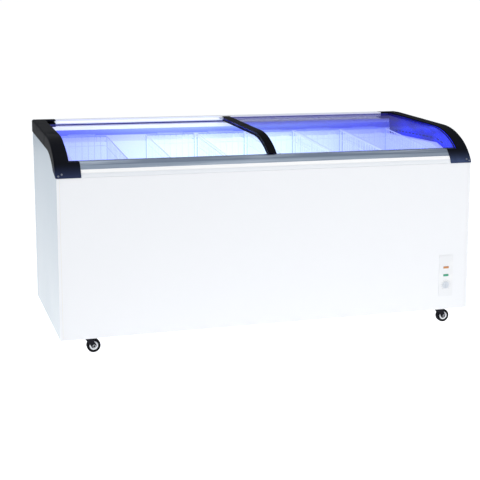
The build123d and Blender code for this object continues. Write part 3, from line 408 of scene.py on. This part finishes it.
def upstandFinish(name):
    # the band behind the baskets, washed blue by the light above it
    paint = Finish(name)
    out = abs(paint.along("X")).between(upstandLook["outFrom"], upstandLook["outTo"])
    tall = paint.along("Z")
    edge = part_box(basketNames[0])[1].z - upstandLook["belowBasket"]
    down = 1 - tall.between(edge, edge + upstandLook["fade"])
    base = paint.mix(upstandLook["pale"], upstandLook["blue"], down)
    base = paint.mix(base, upstandLook["deep"], out * 0.8)
    farther = abs(paint.along("X")).between(tubLook["from"], tubLook["to"])
    tub = paint.mix(tubLook["middle"], tubLook["end"], farther)
    base = paint.mix(tub, base, tall.between(edge - upstandLook["edgeFrom"], edge + upstandLook["edgeTo"]))
    fine = paint.noise(200, 2)
    return paint.looks(Base_Color=base, Emission_Color=base, Emission_Strength=upstandLook["glow"],
                       Roughness=0.4 + 0.1 * fine, Normal=paint.bump(fine, 0.06, 0.0002))


coverLook = {"white": (0.93, 0.96, 1.0), "spot": (0.8, 0.87, 1.0), "blue": (0.24, 0.3, 1.0),
             "blueFrom": -0.02, "blueTo": 0.1, "blueShare": 0.85, "glow": 0.7}


def coverFinish(name):
    # frosted cover over the light strip, bluer under the upper lid: painted light, the blue seen through
    # that lid's glass
    cover = Finish(name)
    spot = abs(cover.noise(25, 1) - 0.5)
    tone = cover.mix(coverLook["white"], coverLook["spot"], spot * 2)
    right = cover.along("X").between(coverLook["blueFrom"], coverLook["blueTo"])
    tone = cover.mix(tone, coverLook["blue"], right * coverLook["blueShare"])
    return cover.looks(Base_Color=tone, Emission_Color=tone, Emission_Strength=coverLook["glow"],
                       Roughness=0.35)


upstandBlue = upstandFinish("upstandBlue")
coverGlow = coverFinish("coverGlow")

dress(whiteSheet, "front_panel", "back_panel")
dress(shadedSideSheet, "left_side_panel", "right_side_panel")
dress(zincSheet, "base_pan", "machine_tray", "caster_plates")
dress(foamYellow, "insulation")
dress(tubSheet, "liner")
dress(upstandBlue, "rear_upstand")
dress(rimTop, "front_rim")
dress(frameBlack, "left_end_frame", "right_end_frame")
dress(trimBlue, "left_end_trim", "right_end_trim")
dress(railMetal, "front_rail")
dress(rearRailMetal, "rear_rail", "light_channel")
dress(coverGlow, "light_cover")
dress(screwSteel, "frame_screws")
dress(upperGlass, "upper_lid_glass")
dress(lowerGlass, "lower_lid_glass")
for lid in ("upper_lid", "lower_lid"):
    dress(lidBlack, f"{lid}_stile")
    dress(runnerBlue, f"{lid}_runners")
    dress(sealRubber, f"{lid}_seal")
for corner in corners:
    dress(casterBlack, f"{corner}_fork")
    dress(wheelRubber, f"{corner}_wheel")
dress(controlWhite, "control_plate")
dress(lampOrange, "power_lamp")
dress(lampGreen, "run_lamp")
dress(knobGrey, "thermostat_knob")
dress(caseBlack, "thermostat_body", "cable_gland", "relay_box")
dress(grilleGrey, "side_grille")
dress(rimWhite, "drain_spout")
dress(rubberFinish("plugRubber", (0.6, 0.62, 0.66)), "drain_plug")
dress(copperPipe, "evaporator_coil", "filter_drier")
dress(shellBlack, "compressor")
dress(sealRubber, "compressor_grommets")
dress(finMetal, "condenser")
dress(motorSteel, "fan_motor")
dress(bladeGrey, "fan_blade")
print("finishes on the frame")


# Mesh helpers

def addPiece(name, mesh, body, finish, at=(0, 0, 0)):
    piece = bpy.data.objects.new(name, mesh)
    bpy.context.scene.collection.objects.link(piece)
    piece.location = at
    if not mesh.materials:
        mesh.materials.append(finish.material)
    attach(piece, body)
    return piece


def bent(points, reach, closed=False, steps=3):
    # the same path with its corners rounded
    path = []
    count = len(points)
    for index, point in enumerate(points):
        here = Vector(point)
        if not closed and index in (0, count - 1):
            path.append(here)
            continue
        before = Vector(points[index - 1]) - here
        after = Vector(points[(index + 1) % count]) - here
        cut = min(reach, before.length * 0.45, after.length * 0.45)
        start, end = here + before.normalized() * cut, here + after.normalized() * cut
        for step in range(steps + 1):
            share = step / steps
            path.append(start * (1 - share) ** 2 + here * (2 * share * (1 - share)) + end * share ** 2)
    return path


def wireMesh(name, runs, sides=2):
    # round wire along each (points, radius, closed)
    thin = 0.001
    curve = bpy.data.curves.new(name, "CURVE")
    curve.dimensions = "3D"
    curve.bevel_depth = thin
    curve.bevel_resolution = sides
    curve.use_fill_caps = True
    for points, radius, closed in runs:
        spline = curve.splines.new("POLY")
        spline.points.add(len(points) - 1)
        for dot, place in zip(spline.points, points):
            dot.co = (*place, 1)
            dot.radius = radius / thin
        spline.use_cyclic_u = closed
    holder = bpy.data.objects.new(name, curve)
    bpy.context.scene.collection.objects.link(holder)
    bpy.context.view_layer.update()
    shape = holder.evaluated_get(bpy.context.evaluated_depsgraph_get())
    mesh = bpy.data.meshes.new_from_object(shape)
    bpy.data.objects.remove(holder)
    mesh.name = name
    mesh.materials.clear()
    for face in mesh.polygons:
        face.use_smooth = True
    return mesh


def latheMesh(name, profile, turns=48):
    # closed ring about Y: profile points are (radius, along the axis)
    shape = bmesh.new()
    rings = []
    for radius, along in profile:
        ring = []
        for step in range(turns):
            angle = math.tau * step / turns
            ring.append(shape.verts.new((radius * math.cos(angle), along, radius * math.sin(angle))))
        rings.append(ring)
    count = len(rings)
    for index in range(count):
        near, far = rings[index], rings[(index + 1) % count]
        for step in range(turns):
            after = (step + 1) % turns
            face = shape.faces.new((near[step], near[after], far[after], far[step]))
            face.smooth = True
    bmesh.ops.recalc_face_normals(shape, faces=shape.faces)
    mesh = bpy.data.meshes.new(name)
    shape.to_mesh(mesh)
    shape.free()
    return mesh


def blocksMesh(name, blocks, bevel):
    # small bevelled blocks, each (middle, size, turn matrix)
    shape = bmesh.new()
    for middle, size, turn in blocks:
        place = Matrix.Translation(middle) @ turn @ Matrix.Diagonal((*size, 1))
        bmesh.ops.create_cube(shape, size=1, matrix=place)
    bmesh.ops.bevel(shape, geom=shape.edges[:], offset=bevel, segments=2, affect="EDGES", profile=0.5)
    mesh = bpy.data.meshes.new(name)
    shape.to_mesh(mesh)
    shape.free()
    return mesh


noTurn = Matrix.Identity(4)

# Baskets: welded wire, coated white, hung by bent hooks

basket = {"rimWire": 0.0026, "wire": 0.0013, "hookWire": 0.0015, "pitchLong": 0.0257, "pitchShort": 0.0257,
          "levels": 4, "topGap": 0.6, "hookReach": 0.021, "hookWidth": 0.046, "hookPlate": 0.0034,
          "hookGap": 0.0011, "hookShort": 0.001, "hookInset": 0.004, "hookBend": 0.005,
          "rimDrop": 0.054, "gripRise": 0.008, "gripFrontRise": 0.004, "gripWidth": 0.12, "gripLean": 0.004,
          "gripBend": 0.006, "bend": 0.012, "rearLedgeRise": 0.026, "post": 0.002}
coatLook = {"shade": (0.2, 0.27, 0.95), "shaded": 0.75, "cornerShare": 0.8, "dull": 0.8, "level": 0.98,
            "rearFrom": 0.012, "rearTo": 0.005, "cornerFrom": 0.006, "cornerTo": 0.004,
            "topFrom": 0.008, "topTo": 0.002}


def basketRuns():
    low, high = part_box(basketNames[0])
    middle = (low + high) / 2
    reachX = (high.x - low.x) / 2 - basket["rimWire"]
    reachY = (high.y - low.y) / 2 - basket["hookReach"] - basket["rimWire"]
    floor = low.z + basket["wire"]
    rear = high.z - basket["gripRise"] - basket["rimWire"]
    front = rear - basket["rimDrop"]

    def rimAt(y):
        return front + (rear - front) * (y + reachY) / (2 * reachY)

    def loopAt(inset, levelOf):
        spots = [(-1, -1), (1, -1), (1, 1), (-1, 1)]
        return [(sx * (reachX - inset), sy * (reachY - inset), levelOf(sy * reachY)) for sx, sy in spots]

    inner = basket["rimWire"] + basket["wire"]
    runs = [(bent(loopAt(0, rimAt), basket["bend"], True), basket["rimWire"], True)]
    for level in range(basket["levels"]):
        share = (level + 1) / (basket["levels"] + basket["topGap"])
        shape = loopAt(inner + 2 * basket["wire"], lambda y: floor + (rimAt(y) - floor) * share)
        runs.append((bent(shape, basket["bend"], True), basket["wire"], True))
    across = round(2 * reachX / basket["pitchShort"])
    for index in range(1, across):
        x = -reachX + 2 * reachX * index / across
        y = reachY - inner
        shape = [(x, -y, front), (x, -y, floor), (x, y, floor), (x, y, rear)]
        runs.append((bent(shape, basket["bend"]), basket["wire"], False))
    deep = round(2 * reachY / basket["pitchLong"])
    for index in range(1, deep):
        y = -reachY + 2 * reachY * index / deep
        x = reachX - inner
        under = floor + 2 * basket["wire"]
        shape = [(-x, y, rimAt(y)), (-x, y, under), (x, y, under), (x, y, rimAt(y))]
        runs.append((bent(shape, basket["bend"]), basket["wire"], False))
    for side, rim in ((1, rear), (-1, front)):
        rest = rim
        if side > 0:  # the rear hooks reach down to their ledge
            rest = rim - basket["rearLedgeRise"] + basket["hookPlate"] + basket["hookGap"]
        wall = side * reachY
        out = side * (reachY + basket["hookReach"] - basket["hookShort"])
        for start in (-1, 1):
            x0, x1 = start * reachX, start * (reachX - basket["hookWidth"] + basket["hookInset"])
            shape = [(x0, wall, rest), (x0, out, rest), (x1, out, rest), (x1, wall, rest)]
            if side > 0:
                shape = [(x0, wall, rim), *shape, (x1, wall, rim)]
            runs.append((bent(shape, basket["hookBend"]), basket["hookWire"], False))
        half = basket["gripWidth"] / 2 - basket["rimWire"]
        rise = basket["gripRise"] if side > 0 else basket["gripFrontRise"]
        shape = [(x, wall, z) for x, z in ((-half, rim), (-half + basket["gripLean"], rim + rise),
                                           (half - basket["gripLean"], rim + rise), (half, rim))]
        runs.append((bent(shape, basket["gripBend"]), basket["rimWire"], False))
    for side in (-1, 1):  # uprights at the rear corners
        x, y = side * reachX, reachY - basket["rimWire"] - basket["post"]
        runs.append(([(x, y, floor), (x, y, rear)], basket["post"], False))
    return middle, runs, Vector((reachX, reachY, rear - middle.z))


def wireFinish(name, tone, reach):
    # thick white coating over wire, in the tub's light: bluer at the rear rim and the rear corners
    coat = Finish(name)
    fine = coat.noise(900, 2)
    rear = coat.along("Y").between(reach.y - coatLook["rearFrom"], reach.y - coatLook["rearTo"])
    corner = abs(coat.along("X")).between(reach.x - coatLook["cornerFrom"], reach.x - coatLook["cornerTo"])
    top = coat.along("Z").between(reach.z - coatLook["topFrom"], reach.z - coatLook["topTo"])
    mask = rear * (corner * coatLook["cornerShare"] + top).least(1.0)
    glow = coat.mix(tone, coatLook["shade"], mask * coatLook["shaded"])
    dull = tuple(c * coatLook["dull"] for c in tone)
    base = coat.mix(dull, coatLook["shade"], mask * coatLook["shaded"])
    return coat.looks(Base_Color=base, Emission_Color=glow,
                      Emission_Strength=tubLook["glow"] * coatLook["level"],
                      Roughness=0.3 + 0.08 * fine, Specular_IOR_Level=0.1,
                      Coat_Weight=0.1, Coat_Roughness=0.2, Normal=coat.bump(fine, 0.1, 0.0001))


middle, runs, reach = basketRuns()
lifted = [([(x, y, z - middle.z) for x, y, z in points], radius, closed) for points, radius, closed in runs]
basketMesh = wireMesh("basketWire", lifted)
for name in basketNames:
    low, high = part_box(name)
    centre = (low + high) / 2
    coat = wireFinish(f"{name}_coat", tubLightTone(centre.x), reach)
    piece = addPiece(f"{name}_wire", basketMesh.copy(), name, coat, centre)
    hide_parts(name)
print("baskets:", len(basketMesh.vertices), "points each")

# Casters: pale hub rings and axle nuts

caster = {"ringIn": 0.0098, "ringOut": 0.0155, "dish": 0.0025, "ringGap": 0.0002, "soft": 0.0005,
          "cap": 0.0055, "capBore": 0.0042, "capDeep": 0.0006,
          "rivet": 0.0015}  # how far the axle stands proud of the fork's leg


def hubRing():
    inner, outer = caster["ringIn"], caster["ringOut"]
    back, soft = caster["dish"] - caster["ringGap"], caster["soft"]
    profile = [(inner, back), (inner, soft), (inner + soft, 0),
               (outer - soft, 0), (outer, soft), (outer, back)]
    return latheMesh("hubRing", profile)


def axleCap():
    # push nut over the axle's end, open round the rivet head
    inner, outer = caster["capBore"], caster["cap"]
    deep, soft = caster["capDeep"], caster["soft"] / 2
    return latheMesh("axleCap", [(inner, deep), (inner, 0), (outer - soft, 0), (outer, soft), (outer, deep)])


ringMesh = hubRing()
capMesh = axleCap()
for corner in corners:
    low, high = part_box(f"{corner}_wheel")
    forkLow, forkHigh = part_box(f"{corner}_fork")
    middle = (low + high) / 2
    inset = caster["rivet"] - caster["capDeep"]
    for label, wheelFace, legFace, turn in (("front", low.y, forkLow.y + inset, 0),
                                            ("rear", high.y, forkHigh.y - inset, math.pi)):
        ring = addPiece(f"{corner}_hub_{label}", ringMesh, f"{corner}_roller", hubGrey,
                        (middle.x, wheelFace, middle.z))
        nut = addPiece(f"{corner}_cap_{label}", capMesh, f"{corner}_swivel", hubGrey,
                       (middle.x, legFace, middle.z))
        ring.rotation_euler.z = nut.rotation_euler.z = turn

# Light strip inside its channel

strip = {"count": 60, "chip": (0.0035, 0.0012, 0.0028), "tape": (0.0008, 0.008), "endGap": 0.02,
         "tapeInset": 0.0018, "chipInset": 0.001, "bevel": 0.0001}


def lightStrip():
    low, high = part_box("light_channel")
    back = high.y - strip["tapeInset"]
    z = (low.z + high.z) / 2
    length = high.x - low.x - strip["endGap"]
    blocks = [((0, back, z), (length, strip["tape"][0], strip["tape"][1]), noTurn)]
    for index in range(strip["count"]):
        x = -length / 2 + length * (index + 0.5) / strip["count"]
        blocks.append(((x, back - strip["chipInset"], z), strip["chip"], noTurn))
    return blocksMesh("lightStrip", blocks, strip["bevel"])


chipGlow = lensFinish("chipGlow", (0.75, 0.85, 1.0), 3.0)
addPiece("light_strip", lightStrip(), "cabinet", chipGlow)

# Row of short slots along the lower edge of each end trim

trimSlots = {"dash": 0.02, "pitch": 0.032, "height": 0.0042, "proud": 0.0003, "rise": 0.018,
             "rearGap": 0.06, "bendAt": 0.132, "frontAt": 0.062, "frontDrop": 0.018, "bevel": 0.0001}


def slotRow(side):
    name = "left_end_trim" if side < 0 else "right_end_trim"
    low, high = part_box(name)
    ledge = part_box("rear_upstand")[0].z + trimSlots["rise"]
    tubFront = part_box("liner")[0].y
    path = [Vector((0, high.y - trimSlots["rearGap"], ledge)),
            Vector((0, tubFront + trimSlots["bendAt"], ledge)),
            Vector((0, tubFront + trimSlots["frontAt"], ledge - trimSlots["frontDrop"]))]
    x = high.x if side < 0 else low.x
    blocks = []
    for start, end in zip(path, path[1:]):
        run = end - start
        turn = Matrix.Rotation(math.atan2(run.z, run.y), 4, "X")
        for index in range(int(run.length / trimSlots["pitch"])):
            spot = start + run.normalized() * (index + 0.5) * trimSlots["pitch"]
            size = (trimSlots["proud"] * 2, trimSlots["dash"], trimSlots["height"])
            blocks.append(((x, spot.y, spot.z), size, turn))
    return blocksMesh(f"slotRow{side}", blocks, trimSlots["bevel"])


# the dashes stand proud; their dark blue is painted shade standing in for the slots' recesses
slotShade = mouldedPlastic("slotShade", (0.006, 0.008, 0.16), 500, 0.5, 0.1, 0.0)
addPiece("left_trim_slots", slotRow(-1), "cabinet", slotShade)
addPiece("right_trim_slots", slotRow(1), "cabinet", slotShade)

# Grey end cap at the rear of the upper lid's stile

stileCap = {"size": (0.014, 0.02, 0.009), "bevel": 0.002, "drop": 0.0075}
stileLow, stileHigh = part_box("upper_lid_stile")
capAt = (stileLow.x - stileCap["size"][0] / 2, stileHigh.y - stileCap["size"][1] / 2,
         stileHigh.z - stileCap["drop"])
capBlock = blocksMesh("stileCap", [(capAt, stileCap["size"], noTurn)], stileCap["bevel"])
addPiece("stile_end_cap", capBlock, "upper_lid", hubGrey)

# Marks round the thermostat dial

dial = {"ticks": 11, "sweep": 270, "radius": 0.019, "length": 0.0035, "width": 0.0009, "proud": 0.0003,
        "bevel": 0.0001}


def dialMarks():
    low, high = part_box("thermostat_knob")
    x, z = (low.x + high.x) / 2, (low.z + high.z) / 2
    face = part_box("control_plate")[0].y
    blocks = []
    for index in range(dial["ticks"]):
        angle = math.radians(dial["sweep"] * (index / (dial["ticks"] - 1) - 0.5))
        spot = (x + dial["radius"] * math.sin(angle), face, z + dial["radius"] * math.cos(angle))
        size = (dial["width"], dial["proud"] * 2, dial["length"])
        blocks.append((spot, size, Matrix.Rotation(angle, 4, "Y")))
    return blocksMesh("dialMarks", blocks, dial["bevel"])


addPiece("dial_marks", dialMarks(), "cabinet", caseBlack)

# Copper pipes in the machine space

pipe = {"radius": 0.003, "bend": 0.03, "stubDrop": 0.04, "stubGap": 0.002, "rise": 0.06,
        "outlet": 0.024, "condenserInset": 0.02}


def pipeRuns():
    # from the compressor's stubs: one to the condenser, one up towards the tub
    low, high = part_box("compressor")
    x = (low.x + high.x) / 2
    stubY, stubZ = high.y + pipe["stubGap"], high.z - pipe["stubDrop"]
    roof = stubZ + pipe["rise"]
    condLow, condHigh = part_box("condenser")
    outX, endX = x + pipe["outlet"], condHigh.x - pipe["condenserInset"]
    first = [(outX, stubY, stubZ), (outX, stubY + 0.02, stubZ), (x + 0.075, stubY + 0.02, roof),
             (endX, condLow.y - 0.012, roof - 0.01), (endX, condLow.y - 0.003, roof - 0.04)]
    second = [(x, stubY, stubZ), (x, stubY + 0.025, stubZ), (x - 0.03, stubY + 0.03, roof + 0.02),
              (low.x - 0.03, stubY - 0.02, roof + 0.03), (low.x - 0.03, stubY - 0.06, roof + 0.04)]
    return [(bent(shape, pipe["bend"], steps=6), pipe["radius"], False) for shape in (first, second)]


addPiece("machine_pipes", wireMesh("machinePipes", pipeRuns(), 3), "cabinet", copperPipe)
print("small pieces made")

# Stage, light and camera

studio = {"floorSize": 14, "floorDrop": 0.0005, "floorTone": (0.95, 0.955, 0.96), "floorGlow": 0.95,
          "worldTone": (0.97, 0.985, 1.0), "worldSeen": 1.04, "worldLight": 0.22}


def studioFloor():
    shape = bmesh.new()
    bmesh.ops.create_grid(shape, x_segments=8, y_segments=8, size=studio["floorSize"] / 2)
    mesh = bpy.data.meshes.new("floor")
    shape.to_mesh(mesh)
    shape.free()
    floor = bpy.data.objects.new("floor", mesh)
    bpy.context.scene.collection.objects.link(floor)
    floor.location = (0, 0, cadLow.z - studio["floorDrop"])
    paper = Finish("studioPaper")
    cloud = paper.noise(1.5, 2)
    base = paper.mix(studio["floorTone"], tuple(c * 0.99 for c in studio["floorTone"]), cloud)
    paper.looks(Base_Color=base, Roughness=0.9, Specular_IOR_Level=0.1, Emission_Color=base,
                Emission_Strength=studio["floorGlow"])
    mesh.materials.append(paper.material)


def studioWorld():
    # white to the eye, softer as light
    world = bpy.data.worlds.new("studio")
    world.use_nodes = True
    tree = world.node_tree
    back = tree.nodes["Background"]
    back.inputs["Color"].default_value = (*studio["worldTone"], 1)
    seen = tree.nodes.new("ShaderNodeLightPath").outputs["Is Camera Ray"]
    span = tree.nodes.new("ShaderNodeMapRange")
    span.inputs["To Min"].default_value = studio["worldLight"]
    span.inputs["To Max"].default_value = studio["worldSeen"]
    tree.links.new(seen, span.inputs["Value"])
    tree.links.new(span.outputs[0], back.inputs["Strength"])
    bpy.context.scene.world = world


lights = [
    {"name": "key", "at": (1.6, -4.6, 3.2), "to": (0.1, 0, 0.4), "size": (4.0, 2.6), "power": 68,
     "tone": (1, 0.99, 0.98)},
    {"name": "top", "at": (0, -0.3, 4.2), "to": (0, 0, 0.5), "size": (5.0, 3.2), "power": 48,
     "tone": (0.97, 0.98, 1)},
    {"name": "leftFill", "at": (-4.6, -1.0, 1.8), "to": (-0.6, 0, 0.4), "size": (2.4, 2.4), "power": 7,
     "tone": (0.9, 0.95, 1)},
    {"name": "rearFill", "at": (-1.5, 4.6, 3.0), "to": (0, 0, 0.5), "size": (4.0, 2.4), "power": 9,
     "tone": (0.96, 0.98, 1)},
]


def softLight(name, at, to, size, power, tone):
    lamp = bpy.data.lights.new(name, "AREA")
    lamp.shape = "RECTANGLE"
    lamp.size, lamp.size_y = size
    lamp.energy = power
    lamp.color = tone
    holder = bpy.data.objects.new(name, lamp)
    bpy.context.scene.collection.objects.link(holder)
    holder.location = at
    holder.rotation_euler = (Vector(to) - Vector(at)).to_track_quat("-Z", "Y").to_euler()
    holder.visible_camera = False


studioFloor()
studioWorld()
for light in lights:
    softLight(**light)

stand = {"place": (-1.2608, -3.9709, 1.1322), "turn": 17.221, "tilt": 8.495,
         "sensor": 36, "length": 79.48, "shift": -0.10}
cameraData = bpy.data.cameras.new("camera")
cameraData.sensor_width = stand["sensor"]
cameraData.lens = stand["length"]
cameraData.shift_y = stand["shift"]
camera = bpy.data.objects.new("camera", cameraData)
bpy.context.scene.collection.objects.link(camera)
camera.location = stand["place"]
camera.rotation_euler = (math.radians(90 - stand["tilt"]), 0, math.radians(-stand["turn"]))
bpy.context.scene.camera = camera
bpy.context.scene.view_settings.view_transform = "Standard"
print("stage and camera set")
